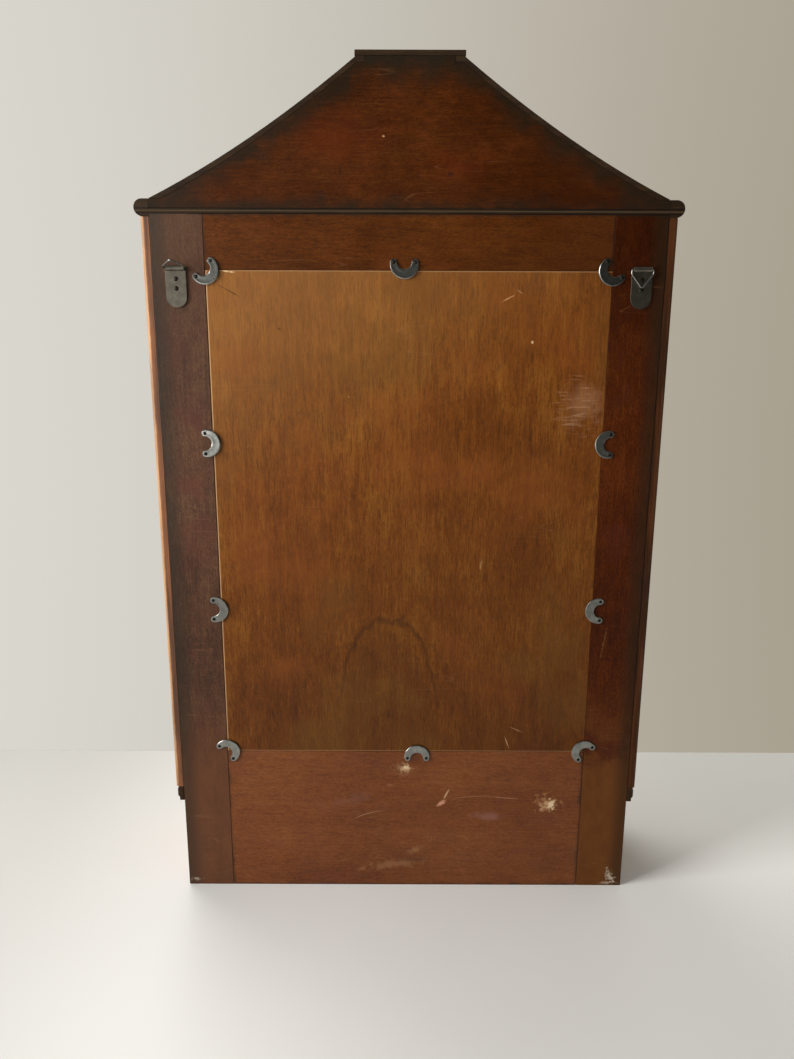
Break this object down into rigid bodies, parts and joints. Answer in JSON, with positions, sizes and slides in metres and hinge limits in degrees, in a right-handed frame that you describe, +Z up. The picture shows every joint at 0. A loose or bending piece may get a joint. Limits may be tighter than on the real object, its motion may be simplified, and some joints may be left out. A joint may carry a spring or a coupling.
{
  "type": "jewelry armoire",
  "caption": "Shallow wooden jewelry cabinet with a pagoda roof, a mirrored door, a drawer with a ring cushion, and a framed plywood back with clips and hanging rings.",
  "frame": {"origin": "centre of the underside of the base, on the surface the cabinet stands on", "axes": "+Z up, -Y towards the front (door and drawer), +Y towards the framed back, +X to the right seen from the front"},
  "size_m": [0.5289, 0.1933, 0.8756],
  "materials": {
    "frame_wood": "old red-brown stained hardwood, worn satin",
    "plywood": "bare golden-brown plywood, matt",
    "case_wood": "warm brown varnished hardwood, semi-gloss",
    "inner_wood": "unstained hardwood, matt",
    "steel": "dull tarnished steel",
    "brass": "aged brass",
    "mirror": "silvered glass",
    "velvet": "burgundy velvet"
  },
  "bodies": {
    "case": {"back_stile_left": "frame_wood", "back_stile_right": "frame_wood", "back_bottom_rail": "frame_wood", "back_top_rail": "frame_wood", "pediment_board": "frame_wood", "back_panel": "plywood", "velvet_board": "velvet", "clip_top_left": "steel", "clip_top_middle": "steel", "clip_top_right": "steel", "clip_upper_left": "steel", "clip_upper_right": "steel", "clip_lower_left": "steel", "clip_lower_right": "steel", "clip_bottom_left": "steel", "clip_bottom_middle": "steel", "clip_bottom_right": "steel", "hanger_plate_left": "steel", "hanger_plate_right": "steel", "catch_magnet": "steel", "roof_skin_left": "case_wood", "roof_skin_right": "case_wood", "roof_skin_front": "case_wood", "roof_cap": "case_wood", "cornice": "case_wood", "side_board_left": "case_wood", "side_board_right": "case_wood", "lower_side_left": "case_wood", "lower_side_right": "case_wood", "base_board": "case_wood", "waist_moulding_left": "case_wood", "waist_moulding_right": "case_wood", "waist_moulding_front": "case_wood", "deck_board": "inner_wood", "shelf": "inner_wood", "hook_rail": "inner_wood", "hook_1": "brass", "hook_2": "brass", "hook_3": "brass", "hook_4": "brass", "hinge_case_leaf_upper": "brass", "hinge_case_leaf_lower": "brass"},
    "door": {"door_stile_left": "case_wood", "door_stile_right": "case_wood", "door_bottom_rail": "case_wood", "door_top_rail": "case_wood", "door_mirror": "mirror", "door_backing": "velvet", "door_knob": "brass", "hinge_door_leaf_upper": "brass", "hinge_door_leaf_lower": "brass"},
    "drawer": {"drawer_front": "case_wood", "drawer_side_left": "inner_wood", "drawer_side_right": "inner_wood", "drawer_back": "inner_wood", "drawer_bottom": "plywood", "drawer_knob": "brass", "ring_cushion": "velvet"},
    "ring_left": {"hanger_ring_left": "steel"},
    "ring_right": {"hanger_ring_right": "steel"}
  },
  "joints": [
    {"name": "door_hinge", "type": "hinge", "parent": "case", "child": "door", "pos_m": [-0.2622, -0.0626, 0.43], "axis": [0, 0, -1], "range_deg": [0, 110]},
    {"name": "drawer_slide", "type": "slide", "parent": "case", "child": "drawer", "axis": [0, -1, 0], "range_m": [0, 0.085]},
    {"name": "ring_left_swing", "type": "hinge", "parent": "case", "child": "ring_left", "pos_m": [-0.2269, 0.072, 0.6829], "axis": [1, 0, 0], "range_deg": [0, 180]},
    {"name": "ring_right_swing", "type": "hinge", "parent": "case", "child": "ring_right", "pos_m": [0.2269, 0.072, 0.6829], "axis": [-1, 0, 0], "range_deg": [-70, 110]}
  ]
}
